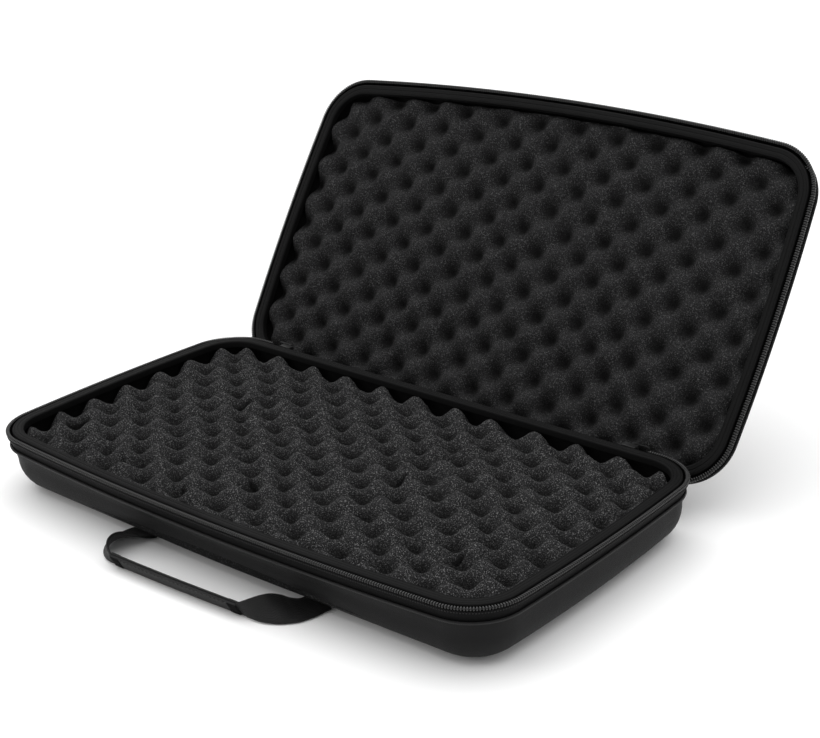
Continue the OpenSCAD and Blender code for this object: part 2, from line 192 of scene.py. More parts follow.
# Centre of a corner arc that runs into two larger arcs
def cornerCentre(first, firstRadius, second, secondRadius, radius, back):
    gap = math.dist(first, second)
    ahead = ((second[0] - first[0]) / gap, (second[1] - first[1]) / gap)
    one, other = firstRadius - radius, secondRadius - radius
    along = (one * one - other * other + gap * gap) / (2 * gap)
    across = math.sqrt(max(one * one - along * along, 0))
    found = []
    for side in (1, -1):
        found.append((first[0] + ahead[0] * along - side * ahead[1] * across,
                      first[1] + ahead[1] * along + side * ahead[0] * across))
    return max(found, key=lambda spot: spot[0] + back * spot[1])


def heading(start, end):
    return math.atan2(end[1] - start[1], end[0] - start[0])


# Right half of the outline, from the front's middle to the end of the back corner
def rightSide(inset, bow):
    shape = outlineShape
    across, back = halfLength - inset, halfWidth - inset
    front = back - shape["frontBow"] + bow
    corner = max(shape["corner"] - inset, 2 * mm)
    sideRadius = arcRadius((back + front) / 2, shape["sideBow"])
    frontRadius, backRadius = arcRadius(across, bow), arcRadius(across, shape["backBow"])
    side = (across - sideRadius, (back - front) / 2)
    ahead, behind = (0, -front + frontRadius), (0, back - backRadius)
    low = cornerCentre(ahead, frontRadius, side, sideRadius, corner, -1)
    high = cornerCentre(behind, backRadius, side, sideRadius, corner, 1)
    points = arc(ahead, frontRadius, -math.pi / 2, heading(ahead, low), shape["frontSteps"])
    points += arc(low, corner, heading(ahead, low), heading(side, low), shape["cornerSteps"])
    points += arc(side, sideRadius, heading(side, low), heading(side, high), shape["sideSteps"])
    points += arc(high, corner, heading(side, high), heading(behind, high), shape["cornerSteps"])
    end = heading(behind, high)
    points.append((behind[0] + backRadius * math.cos(end), behind[1] + backRadius * math.sin(end)))
    return points


# Points on the hinge edge between two distances from its middle, without the last one
def hingeEdge(inset, start, end, steps):
    radius = arcRadius(halfLength - inset, outlineShape["backBow"])
    spots = [start + (end - start) * step / steps for step in range(steps)]
    return [(x, halfWidth - inset - radius + math.sqrt(radius * radius - x * x)) for x in spots]


def mirrored(points):
    return [(-x, y) for x, y in reversed(points[1:])]


def outline(inset, bow=outlineShape["frontBow"]):
    right = rightSide(inset, bow)
    end = right[-1][0]
    back = hingeEdge(inset, end, -end, outlineShape["backSteps"])[1:]
    return right + back + mirrored(right)


# Open line that the zip follows, from one end on the hinge edge round the front to the other
def zipLine(inset, end, bow=outlineShape["frontBow"]):
    right = rightSide(inset, bow)
    corner = right[-1][0]
    return (hingeEdge(inset, -end, -corner, 4) + mirrored(right) + right
            + hingeEdge(inset, corner, end, 4)[1:] + hingeEdge(inset, end, end, 1))


# Where the points of each half go: drop is the distance from the parting plane into that half

def bottomPlace(x, y, drop):
    return Vector((x, y, partingZ - drop))


def lidPlace(x, y, drop):
    across, out = y - foldY, drop - seamDrop
    turned = across * math.cos(lidAngle) + out * math.sin(lidAngle)
    raised = out * math.cos(lidAngle) - across * math.sin(lidAngle)
    return Vector((x, openY + turned, openZ + raised))


halves = {
    "bottom": {
        "place": bottomPlace, "depth": partingZ, "edgeRound": 26 * mm, "lowBow": outlineShape["baseBow"],
    },
    "lid": {
        "place": lidPlace, "depth": 23 * mm, "edgeRound": 14 * mm, "lowBow": outlineShape["frontBow"],
    },
}


# Mesh helpers

def makeObject(name, points, faces, uvs=None):
    mesh = bpy.data.meshes.new(name)
    mesh.from_pydata([tuple(point) for point in points], [], faces)
    if uvs:
        layer = mesh.uv_layers.new(name="UVMap")
        for loop in mesh.loops:
            layer.data[loop.index].uv = uvs[loop.vertex_index]
    work = bmesh.new()
    work.from_mesh(mesh)
    bmesh.ops.recalc_face_normals(work, faces=work.faces)
    work.to_mesh(mesh)
    work.free()
    thing = bpy.data.objects.new(name, mesh)
    scene.collection.objects.link(thing)
    mesh.polygons.foreach_set("use_smooth", [True] * len(mesh.polygons))
    return thing


# Joins rings of equal length. around closes each ring, tube joins the last ring to the first.
def ringMesh(name, rings, around=True, tube=True, caps=False, sharp=None):
    count, size = len(rings), len(rings[0])
    points = [point for ring in rings for point in ring]
    uvs, down = [], 0.0
    for index, ring in enumerate(rings):
        if index:
            down += (Vector(ring[0]) - Vector(rings[index - 1][0])).length
        along = 0.0
        for step, point in enumerate(ring):
            if step:
                along += (Vector(point) - Vector(ring[step - 1])).length
            uvs.append((along, down))
    faces = []
    for index in range(count if tube else count - 1):
        after = (index + 1) % count
        for step in range(size if around else size - 1):
            beside, here, there = (step + 1) % size, index * size, after * size
            faces.append((here + step, here + beside, there + beside, there + step))
    if caps and around:
        faces.append(tuple(range(size)))
        faces.append(tuple((count - 1) * size + step for step in range(size)))
    if caps and not around:
        faces.append(tuple(index * size for index in range(count)))
        faces.append(tuple(index * size + size - 1 for index in range(count)))
    thing = makeObject(name, points, faces, uvs)
    if around:
        closeSeam(thing.data, rings, size)
    if sharp:
        thing.data.set_sharp_from_angle(angle=math.radians(sharp))
    return thing


# Gives the last face of each ring the ring's full length, so that its cloth doesn't run back to the start
def closeSeam(mesh, rings, size):
    layer = mesh.uv_layers[0].data
    for face in mesh.polygons:
        steps = {vertex % size for vertex in face.vertices}
        if len(face.vertices) != 4 or steps != {0, size - 1}:
            continue
        for loop in face.loop_indices:
            vertex = mesh.loops[loop].vertex_index
            if vertex % size == 0:
                ring = rings[vertex // size]
                last = layer[[other for other in face.loop_indices
                              if mesh.loops[other].vertex_index == vertex + size - 1][0]].uv
                layer[loop].uv = (last.x + (Vector(ring[0]) - Vector(ring[-1])).length, last.y)


# Material, body and the CAD nodes that a piece stands for; slot is not used. A piece that bends gets no
# body.
def finishPiece(piece, body, slot, material, *nodes):
    piece.data.materials.clear()
    piece.data.materials.append(material)
    if body:
        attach(piece, body)
    if nodes:
        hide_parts(*nodes)
    return piece


# Rings of a profile of (inset, drop) carried along the outline or the zip's line of one half
def profileRings(profile, half, line, bow=outlineShape["frontBow"]):
    place = halves[half]["place"]
    return [[place(x, y, drop) for x, y in line(inset)] for inset, drop in profile]


# Closed profile from (inset, drop, radius) corners, each turned into a short curve
def roundedProfile(corners, steps=4):
    points = []
    for index, (inset, drop, radius) in enumerate(corners):
        before, after = corners[index - 1], corners[(index + 1) % len(corners)]
        here = Vector((inset, drop))
        if radius <= 0:
            points.append((inset, drop))
            continue
        inward = (Vector(before[:2]) - here).normalized() * radius
        outward = (Vector(after[:2]) - here).normalized() * radius
        for step in range(steps + 1):
            share = step / steps
            spot = here + inward * (1 - share) ** 2 + outward * share ** 2
            points.append((spot.x, spot.y))
    return points


# Shader helpers

def feed(tree, socket, value):
    if isinstance(value, bpy.types.NodeSocket):
        tree.links.new(value, socket)
    elif value is not None:
        socket.default_value = value


def maths(tree, operation, *values):
    node = tree.nodes.new("ShaderNodeMath")
    node.operation = operation
    for socket, value in zip(node.inputs, values):
        feed(tree, socket, value)
    return node.outputs[0]


def plus(tree, first, second):
    return maths(tree, "ADD", first, second)


def times(tree, first, second):
    return maths(tree, "MULTIPLY", first, second)


def mixColour(tree, share, first, second):
    node = tree.nodes.new("ShaderNodeMix")
    node.data_type = "RGBA"
    feed(tree, node.inputs["Factor"], share)
    feed(tree, node.inputs[6], first)
    feed(tree, node.inputs[7], second)
    return node.outputs[2]


def noise(tree, place, scale, detail=2.0, rough=0.5):
    node = tree.nodes.new("ShaderNodeTexNoise")
    feed(tree, node.inputs["Vector"], place)
    feed(tree, node.inputs["Scale"], scale)
    node.inputs["Detail"].default_value = detail
    node.inputs["Roughness"].default_value = rough
    return node.outputs["Fac"]


def ramp(tree, value, low, high):
    node = tree.nodes.new("ShaderNodeMapRange")
    node.interpolation_type = "SMOOTHSTEP"
    feed(tree, node.inputs["Value"], value)
    feed(tree, node.inputs["From Min"], low)
    feed(tree, node.inputs["From Max"], high)
    return node.outputs["Result"]


def newGroup(name, inputs, outputs):
    group = bpy.data.node_groups.new(name, "ShaderNodeTree")
    for label, kind, value in inputs:
        socket = group.interface.new_socket(label, in_out="INPUT", socket_type=kind)
        if value is not None:
            socket.default_value = value
    for label, kind in outputs:
        group.interface.new_socket(label, in_out="OUTPUT", socket_type=kind)
    start, end = group.nodes.new("NodeGroupInput"), group.nodes.new("NodeGroupOutput")
    return group, start.outputs, end.inputs


number, vector = "NodeSocketFloat", "NodeSocketVector"


# Plain weave: threads cross over and under each other
def weaveGroup():
    group, given, out = newGroup(
        "plainWeave", [("Place", vector, None), ("Threads", number, 1800.0), ("Slub", number, 0.3)],
        [("Height", number), ("Shade", number)])
    split = group.nodes.new("ShaderNodeSeparateXYZ")
    feed(group, split.inputs[0], given["Place"])
    along = times(group, split.outputs[0], given["Threads"])
    across = times(group, split.outputs[1], given["Threads"])
    first = maths(group, "SINE", times(group, along, math.pi))
    second = maths(group, "SINE", times(group, across, math.pi))
    over = ramp(group, times(group, first, second), -0.15, 0.15)
    warp = times(group, maths(group, "ABSOLUTE", second), over)
    weft = times(group, maths(group, "ABSOLUTE", first), maths(group, "SUBTRACT", 1.0, over))
    slub = noise(group, given["Place"], 260.0, 3.0)
    uneven = times(group, slub, given["Slub"])
    feed(group, out["Height"], plus(group, plus(group, warp, weft), uneven))
    feed(group, out["Shade"], plus(group, times(group, over, 0.35), times(group, slub, 0.65)))
    return group


# Twill or chevron ribs, as on webbing and zip tape
def ribGroup():
    group, given, out = newGroup(
        "chevronRibs",
        [("Place", vector, None), ("Ribs", number, 900.0), ("Slant", number, 1.0),
         ("Chevron", number, 400.0)],
        [("Height", number), ("Shade", number)])
    split = group.nodes.new("ShaderNodeSeparateXYZ")
    feed(group, split.inputs[0], given["Place"])
    zig = maths(group, "PINGPONG", times(group, split.outputs[1], given["Chevron"]), 1.0)
    shifted = plus(group, times(group, split.outputs[0], given["Ribs"]), times(group, zig, given["Slant"]))
    rib = maths(group, "ABSOLUTE", maths(group, "SINE", times(group, shifted, math.pi)))
    fine = noise(group, given["Place"], 900.0, 2.0)
    feed(group, out["Height"], plus(group, rib, times(group, fine, 0.5)))
    feed(group, out["Shade"], plus(group, times(group, rib, 0.4), times(group, fine, 0.6)))
    return group


# Open foam cells: dark pores between thin struts, some of which catch the light
def cellGroup():
    group, given, out = newGroup(
        "foamCells", [("Place", vector, None), ("Cells", number, 900.0), ("Specks", number, 0.5)],
        [("Height", number), ("Pores", number), ("Glints", number)])
    pores = group.nodes.new("ShaderNodeTexVoronoi")
    feed(group, pores.inputs["Vector"], given["Place"])
    feed(group, pores.inputs["Scale"], given["Cells"])
    pore = ramp(group, pores.outputs["Distance"], 0.1, 0.6)
    grain = noise(group, given["Place"], times(group, given["Cells"], 0.8), 3.0, 0.7)
    feed(group, out["Height"], plus(group, pore, times(group, grain, 1.4)))
    feed(group, out["Pores"], pore)
    spots = noise(group, given["Place"], times(group, given["Cells"], 1.1), 1.0, 0.5)
    level = maths(group, "SUBTRACT", 0.78, times(group, given["Specks"], 0.2))
    feed(group, out["Glints"], ramp(group, spots, level, plus(group, level, 0.08)))
    return group


# Fine lint and faint handling marks
def lintGroup():
    group, given, out = newGroup(
        "lint", [("Place", vector, None), ("Amount", number, 0.5)], [("Dust", number), ("Rub", number)])
    specks = group.nodes.new("ShaderNodeTexVoronoi")
    feed(group, specks.inputs["Vector"], given["Place"])
    specks.inputs["Scale"].default_value = 420.0
    dot = ramp(group, maths(group, "SUBTRACT", 0.16, specks.outputs["Distance"]), 0.0, 0.1)
    patch = ramp(group, noise(group, given["Place"], 38.0, 4.0), 0.52, 0.72)
    feed(group, out["Dust"], times(group, times(group, dot, patch), given["Amount"]))
    handled = ramp(group, noise(group, given["Place"], 22.0, 5.0), 0.35, 0.75)
    feed(group, out["Rub"], times(group, handled, given["Amount"]))
    return group


plainWeave, chevronRibs, foamCells, lint = weaveGroup(), ribGroup(), cellGroup(), lintGroup()


def useGroup(tree, group, **values):
    node = tree.nodes.new("ShaderNodeGroup")
    node.node_tree = group
    for label, value in values.items():
        feed(tree, node.inputs[label], value)
    return node.outputs


# Material with the shader values that are the same all over
def newMaterial(name, constants):
    material = bpy.data.materials.new(name)
    material.use_nodes = True
    tree = material.node_tree
    shader = tree.nodes["Principled BSDF"]
    for label, value in constants.items():
        shader.inputs[label].default_value = value
    coordinates = tree.nodes.new("ShaderNodeTexCoord")
    return material, tree, shader, coordinates.outputs


def addBump(tree, shader, height, distance, strength):
    bump = tree.nodes.new("ShaderNodeBump")
    bump.inputs["Distance"].default_value = distance
    bump.inputs["Strength"].default_value = strength
    feed(tree, bump.inputs["Height"], height)
    tree.links.new(bump.outputs["Normal"], shader.inputs["Normal"])


def grey(level, tint=0.0):
    return (level, level, level * (1 + tint), 1.0)


# Cloth of one kind: a plain weave or ribs, with a dark and a light shade, lint and rub
def clothMaterial(name, look):
    material, tree, shader, at = newMaterial(name, {
        "Sheen Weight": look["sheen"], "Sheen Roughness": sheenRough,
        "Specular IOR Level": look["specular"]})
    if look["weave"] == "plain":
        fabric = useGroup(tree, plainWeave, Place=at["UV"], Threads=look["threads"], Slub=weaveSlub)
    else:
        fabric = useGroup(tree, chevronRibs, Place=at["UV"], Ribs=look["threads"], Slant=look["slant"],
                          Chevron=look["chevron"])
    marks = useGroup(tree, lint, Place=at["Object"], Amount=look["lint"])
    shade = mixColour(tree, fabric["Shade"], grey(look["dark"]), grey(look["light"], 0.04))
    rubbed = mixColour(tree, times(tree, marks["Rub"], 0.35), shade, grey(look["light"] * 1.25, 0.03))
    feed(tree, shader.inputs["Base Color"],
         mixColour(tree, times(tree, marks["Dust"], 0.5), rubbed, grey(look["light"] * 3.0)))
    feed(tree, shader.inputs["Roughness"],
         plus(tree, look["rough"], times(tree, marks["Rub"], look.get("polish", -0.08))))
    addBump(tree, shader, fabric["Height"], look["depth"], weaveStrength)
    return material


weaveSlub, weaveStrength, sheenRough = 0.3, 0.7, 0.45
cloths = {
    "shellCloth": {
        "weave": "plain", "threads": 1500.0, "dark": 0.003, "light": 0.0068, "rough": 0.6,
        "depth": 0.00012, "sheen": 0.01, "specular": 0.14, "lint": 0.45, "polish": -0.1,
    },
    "liningCloth": {
        "weave": "plain", "threads": 1400.0, "dark": 0.002, "light": 0.004, "rough": 0.85,
        "depth": 0.0001, "specular": 0.08, "sheen": 0.0, "lint": 0.3,
    },
    "bindingCloth": {
        "weave": "ribs", "threads": 1100.0, "dark": 0.002, "light": 0.004, "rough": 0.6,
        "depth": 0.00006, "slant": 0.4, "chevron": 150.0, "sheen": 0.0, "specular": 0.1, "lint": 0.35,
    },
    "tapeCloth": {
        "weave": "ribs", "threads": 1000.0, "dark": 0.002, "light": 0.0045, "rough": 0.68,
        "depth": 0.00012, "slant": 1.0, "chevron": 420.0, "sheen": 0.0, "specular": 0.07, "lint": 0.3,
    },
    "cordCloth": {
        "weave": "ribs", "threads": 800.0, "dark": 0.003, "light": 0.008, "rough": 0.55,
        "depth": 0.0002, "slant": 1.4, "chevron": 180.0, "sheen": 0.02, "specular": 0.3, "lint": 0.3,
    },
    "hingeCloth": {
        "weave": "plain", "threads": 900.0, "dark": 0.004, "light": 0.008, "rough": 0.72,
        "depth": 0.0002, "sheen": 0.02, "specular": 0.15, "lint": 0.4,
    },
    "webbing": {
        "weave": "ribs", "threads": 620.0, "dark": 0.003, "light": 0.009, "rough": 0.62,
        "depth": 0.0003, "slant": 1.1, "chevron": 240.0, "sheen": 0.03, "specular": 0.22, "lint": 0.4,
    },
    "thread": {
        "weave": "ribs", "threads": 2500.0, "dark": 0.003, "light": 0.009, "rough": 0.5,
        "depth": 0.0001, "slant": 1.0, "chevron": 900.0, "sheen": 0.02, "specular": 0.25, "lint": 0.2,
    },
    "tackThread": {
        "weave": "ribs", "threads": 2500.0, "dark": 0.001, "light": 0.003, "rough": 0.6,
        "depth": 0.0001, "slant": 1.0, "chevron": 900.0, "sheen": 0.0, "specular": 0.1, "lint": 0.2,
    },
}
materials = {name: clothMaterial(name, look) for name, look in cloths.items()}


# Each look also holds the share of its colour that stays under the painted shade in the pits
foamLooks = {
    "bottomFoam": {
        "dark": 0.006, "light": 0.026, "glint": 0.15, "cells": 1100.0, "specks": 1.0,
        "depth": 0.0008, "pit": 0.38, "specular": 0.06,
    },
    "lidFoam": {
        "dark": 0.006, "light": 0.022, "glint": 0.085, "cells": 1100.0, "specks": 0.95,
        "depth": 0.0007, "pit": 0.42, "specular": 0.06,
    },
}


# Foam with painted shade: pits, slits and side walls get a darker copy of the colour, peaks keep the full
# one
# The attribute that carries the painted shade is 0 in a pit and 1 on a peak
def foamMaterial(name, look):
    material, tree, shader, at = newMaterial(name, {"Specular IOR Level": look["specular"]})
    cells = useGroup(tree, foamCells, Place=at["Object"], Cells=look["cells"], Specks=look["specks"])
    marks = useGroup(tree, lint, Place=at["Object"], Amount=0.4)
    crest = tree.nodes.new("ShaderNodeAttribute")
    crest.attribute_name = "crest"
    unshadedShare = ramp(tree, crest.outputs["Fac"], 0.0, 0.8)
    worn = mixColour(tree, cells["Pores"], grey(look["dark"]), grey(look["light"], 0.03))
    patchy = mixColour(tree, times(tree, marks["Rub"], 0.5), worn, grey(look["light"] * 1.15, 0.03))
    # painted highlight: struts that catch the light get a bright colour
    lit = mixColour(tree, cells["Glints"], patchy, grey(look["glint"]))
    # painted shade: a darker copy of the colour for the pits, blended in by the attribute above
    pit = look["pit"]
    deep = mixColour(tree, cells["Pores"], grey(look["dark"] * pit), grey(look["light"] * pit))
    feed(tree, shader.inputs["Base Color"], mixColour(tree, unshadedShare, deep, lit))
    feed(tree, shader.inputs["Roughness"], maths(tree, "SUBTRACT", 0.95, times(tree, cells["Glints"], 0.3)))
    addBump(tree, shader, cells["Height"], look["depth"], 0.8)
    return material


for name, look in foamLooks.items():
    materials[name] = foamMaterial(name, look)


nylonLook = {
    "dark": 0.003, "light": 0.009, "dust": 0.12, "rough": 0.22, "lint": 0.6, "specular": 0.5,
    "lines": 1500.0, "depth": 0.00005,
}
enamelLook = {
    "dark": 0.006, "light": 0.012, "chip": 0.35, "rough": 0.28, "lint": 1.0, "specular": 0.25,
    "peel": 700.0, "chips": 520.0, "depth": 0.00005,
}


# Nylon of the coil: slightly glossy, with fine draw lines and a little dust
def nylonMaterial(look):
    material, tree, shader, at = newMaterial("nylon", {"Specular IOR Level": look["specular"]})
    marks = useGroup(tree, lint, Place=at["Object"], Amount=look["lint"])
    lines = noise(tree, at["Object"], look["lines"], 3.0)
    worn = mixColour(tree, lines, grey(look["dark"]), grey(look["light"], 0.03))
    feed(tree, shader.inputs["Base Color"], mixColour(tree, marks["Dust"], worn, grey(look["dust"])))
    feed(tree, shader.inputs["Roughness"], plus(tree, look["rough"], times(tree, marks["Rub"], 0.15)))
    addBump(tree, shader, lines, look["depth"], 0.5)
    return material


# Black enamel on cast metal, a little brighter where it is rubbed and bare where it is chipped
def enamelMaterial(look):
    material, tree, shader, at = newMaterial("enamel", {"Specular IOR Level": look["specular"]})
    marks = useGroup(tree, lint, Place=at["Object"], Amount=look["lint"])
    peel = noise(tree, at["Object"], look["peel"], 2.0)
    chips = ramp(tree, noise(tree, at["Object"], look["chips"], 5.0), 0.74, 0.8)
    painted = mixColour(tree, marks["Rub"], grey(look["dark"]), grey(look["light"], 0.05))
    feed(tree, shader.inputs["Base Color"], mixColour(tree, chips, painted, grey(look["chip"])))
    feed(tree, shader.inputs["Metallic"], chips)
    feed(tree, shader.inputs["Roughness"], plus(tree, look["rough"], times(tree, peel, 0.2)))
    addBump(tree, shader, peel, look["depth"], 0.4)
    return material


materials["nylon"] = nylonMaterial(nylonLook)
materials["enamel"] = enamelMaterial(enamelLook)
print("stage: materials", len(materials))


# Moulded shells: one closed skin, outer face first, then back down the inside

shellShape = {"thick": 3 * mm, "roundSteps": 10, "wallSteps": 4, "floorRings": (45 * mm, 75 * mm, 105 * mm)}


def bowAt(half, drop):
    setup = halves[half]
    edge = setup["depth"] - setup["edgeRound"]
    low = min(seamDrop, edge - 1 * mm)
    share = min(max((edge - drop) / max(edge - low, 1e-6), 0), 1)
    return setup["lowBow"] + (outlineShape["frontBow"] - setup["lowBow"]) * share


# Levels of (inset, drop) of a half at a depth in from its outer face, from the rim down to the floor
def shellLevels(half, deep):
    setup, shape = halves[half], shellShape
    top = partingGap + bindingBox[1][2] - bindingBox[0][2]
    edge = setup["depth"] - setup["edgeRound"]
    radius = setup["edgeRound"] - deep
    levels = [(wallInset + deep, top + (edge - top) * step / shape["wallSteps"])
              for step in range(shape["wallSteps"])]
    for step in range(shape["roundSteps"] + 1):
        turn = math.pi / 2 * step / shape["roundSteps"]
        inset = wallInset + setup["edgeRound"] - radius * math.cos(turn)
        levels.append((inset, edge + radius * math.sin(turn)))
    levels += [(inset, setup["depth"] - deep) for inset in shape["floorRings"]]
    return levels


def makeShell(half):
    place = halves[half]["place"]
    levels = list(reversed(shellLevels(half, 0))) + shellLevels(half, shellShape["thick"])
    rings = [[place(x, y, drop) for x, y in outline(inset, bowAt(half, drop))] for inset, drop in levels]
    piece = ringMesh(half + "Shell", rings, tube=False, caps=True, sharp=60)
    return finishPiece(piece, half, "shell_fabric", materials["shellCloth"], half + "_shell")


# Bound rim: a padded band with a stitched line along its middle

bindingShape = {"soft": 1.7 * mm, "groove": 0.45 * mm, "grooveHalf": 0.5 * mm, "shoulder": 2 * mm}


def makeBinding(half):
    shape = bindingShape
    low = partingGap + bindingBox[1][2] - bindingBox[0][2]
    soft, middle = shape["soft"], (wallInset + bindingInset) / 2
    shoulder, grooveHalf = shape["shoulder"], shape["grooveHalf"]
    corners = [
        (wallInset, low, 0), (wallInset, partingGap, soft),
        (middle - shoulder, partingGap, 0.5 * mm), (middle - grooveHalf, partingGap, 0.2 * mm),
        (middle, partingGap + shape["groove"], 0.3 * mm),
        (middle + grooveHalf, partingGap, 0.2 * mm), (middle + shoulder, partingGap, 0.5 * mm),
        (bindingInset, partingGap, soft), (bindingInset, low, 0)]
    piece = ringMesh(half + "RimBinding", profileRings(roundedProfile(corners), half, outline), sharp=50)
    return finishPiece(piece, half, "binding", materials["bindingCloth"], half + "_rim_binding")


# Evenly spaced frames along a line: middle, direction along, and direction inwards
def framesAlong(line, pitch, start):
    lengths = [0.0]
    for first, second in zip(line, line[1:]):
        lengths.append(lengths[-1] + math.dist(first, second))
    spot, index, found = start, 0, []
    while spot < lengths[-1]:
        while lengths[index + 1] < spot:
            index += 1
        share = (spot - lengths[index]) / (lengths[index + 1] - lengths[index])
        first, second = Vector(line[index]), Vector(line[index + 1])
        along = (second - first).normalized()
        found.append((first.lerp(second, share), along, Vector((-along.y, along.x))))
        spot += pitch
    return found


# Many copies of a small form of (along, inwards, drop) points, placed by frames
def repeatedForm(name, form, faces, frames, place):
    points, allFaces = [], []
    for middle, along, inward in frames:
        base = len(points)
        for a, b, drop in form:
            spot = middle + along * a + inward * b
            points.append(place(spot.x, spot.y, drop))
        allFaces += [tuple(base + corner for corner in face) for face in faces]
    return makeObject(name, points, allFaces)


def fullTurn(sides):
    return [2 * math.pi * side / sides for side in range(sides)]


# Rounded block between rings of an oval section, with closed ends
def ovalForm(sections, sides):
    form, faces = [], []
    for along, inward, drop, wide, tall in sections:
        for side in range(sides):
            turn = 2 * math.pi * (side + 0.5) / sides
            form.append((along, inward + wide * math.cos(turn), drop + tall * math.sin(turn)))
    for ring in range(len(sections) - 1):
        for side in range(sides):
            beside = (side + 1) % sides
            low, high = ring * sides, (ring + 1) * sides
            faces.append((low + side, low + beside, high + beside, high + side))
    faces.append(tuple(range(sides)))
    faces.append(tuple((len(sections) - 1) * sides + side for side in range(sides)))
    return form, faces


# Zip coil: one moulded loop after another on a thin cord

coilShape = {
    "pitch": 1.9 * mm, "tooth": 0.62 * mm, "width": 3.4 * mm, "height": 2.7 * mm, "sides": 10,
    "cord": 0.7 * mm, "cordDrop": 0.2 * mm, "cordSides": 8,
    # shares of the tooth's half length, width and height along one tooth
    "swell": [(-1, 0.72, 0.66), (-0.75, 0.93, 0.92), (-0.3, 1, 1),
              (0.3, 1, 1), (0.75, 0.93, 0.92), (1, 0.72, 0.66)],
}


def coilLine(inset):
    return zipLine(inset, coilEnd)


def tapeLine(inset):
    return zipLine(inset, tapeEnd)


def makeCoil(half):
    shape = coilShape
    wide, high, thick = shape["width"] / 2, shape["height"] / 2, shape["tooth"]
    drop = partingGap + high
    sections = [(thick * along, 0, drop, wide * across, high * tall)
                for along, across, tall in shape["swell"]]
    form, faces = ovalForm(sections, shape["sides"])
    line = zipLine(coilSide + wide, coilEnd + thick)
    frames = framesAlong(line, shape["pitch"], thick)
    teeth = repeatedForm(half + "ZipCoil", form, faces, frames, halves[half]["place"])
    middle, low, radius = coilSide + wide, drop + shape["cordDrop"], shape["cord"]
    cord = [(middle + radius * math.cos(turn), low + radius * math.sin(turn))
            for turn in fullTurn(shape["cordSides"])]
    core = ringMesh(half + "ZipCord", profileRings(cord, half, coilLine), around=False, caps=True)
    finishPiece(core, half, "zip_coil", materials["cordCloth"])
    return finishPiece(teeth, half, "zip_coil", materials["nylon"], half + "_zip_coil")


# Zip tape: slants from the seam out to the coil, with a row of stitches under the coil

tapeShape = {
    "thick": 1 * mm, "bend": 2 * mm, "sewn": 1 * mm, "top": 1.2 * mm, "coil": 3.1 * mm, "bulge": 0.35 * mm,
    "steps": 6, "stitchPitch": 1.9 * mm, "stitchDrop": 4.4 * mm, "stitchRadius": 0.34 * mm,
    "stitchHalf": 0.55 * mm, "stitchSides": 6,
    # shares of the stitch's half length and of its radius: along, outwards, width, height
    "stitchSwell": [(-1, 0, 0.5, 0.5), (-0.5, 0.6, 1, 1.6), (0.5, 0.6, 1, 1.6), (1, 0, 0.5, 0.5)],
}


def faceInset(half, drop):
    setup = halves[half]
    into = max(drop - setup["depth"] + setup["edgeRound"], 0)
    return wallInset + setup["edgeRound"] - math.sqrt(setup["edgeRound"] ** 2 - into ** 2)


# Inset of the tape's outer face at a drop between the coil and the seam
def tapeInset(half, drop):
    shape = tapeShape
    foot = faceInset(half, seamDrop - shape["bend"]) - shape["thick"]
    share = min(max((drop - shape["coil"]) / (seamDrop - shape["bend"] - shape["coil"]), 0), 1)
    return shape["top"] + (foot - shape["top"]) * share - shape["bulge"] * math.sin(math.pi * share)


def makeTape(half):
    shape = tapeShape
    fall, steps = seamDrop - shape["bend"] - shape["coil"], shape["steps"]
    drops = [shape["coil"] + fall * step / steps for step in range(steps + 1)]
    drops.append(seamDrop + shape["sewn"])
    outer = [(tapeInset(half, drop), drop) for drop in drops]
    inner = [(inset + shape["thick"], drop) for inset, drop in reversed(outer)]
    rings = profileRings(outer + inner, half, tapeLine)
    piece = ringMesh(half + "ZipTape", rings, around=False, caps=True, sharp=50)
    finishPiece(piece, half, "zip_tape", materials["tapeCloth"], half + "_zip_tape")
    radius, reach = shape["stitchRadius"], shape["stitchHalf"]
    sections = [(reach * along, -radius * out, shape["stitchDrop"], radius * wide, radius * tall)
                for along, out, wide, tall in shape["stitchSwell"]]
    form, faces = ovalForm(sections, shape["stitchSides"])
    pitch = shape["stitchPitch"]
    frames = framesAlong(tapeLine(tapeInset(half, shape["stitchDrop"])), pitch, pitch)
    stitches = repeatedForm(half + "TapeStitches", form, faces, frames, halves[half]["place"])
    finishPiece(stitches, half, "zip_coil", materials["thread"])
    return piece


# Piping: a fine cord along the seam

pipingShape = {"radius": 0.9 * mm, "sides": 12}


def makePiping(half):
    radius = pipingShape["radius"]
    centre = faceInset(half, seamDrop - tapeShape["bend"]) - tapeShape["thick"] - radius
    profile = [(centre - radius * math.cos(turn), seamDrop + radius * math.sin(turn))
               for turn in fullTurn(pipingShape["sides"])]
    rings = profileRings(profile, half, tapeLine)
    piece = ringMesh(half + "SeamPiping", rings, around=False, caps=True)
    return finishPiece(piece, half, "piping", materials["cordCloth"], half + "_seam_piping")


for half in halves:
    makeShell(half)
    makeBinding(half)
    makeCoil(half)
    makeTape(half)
    makePiping(half)
print("stage: shells, rims and zip")


# Egg-crate foam: a fine sheet of peaks and pits, cut to the rim and sunk into the lining

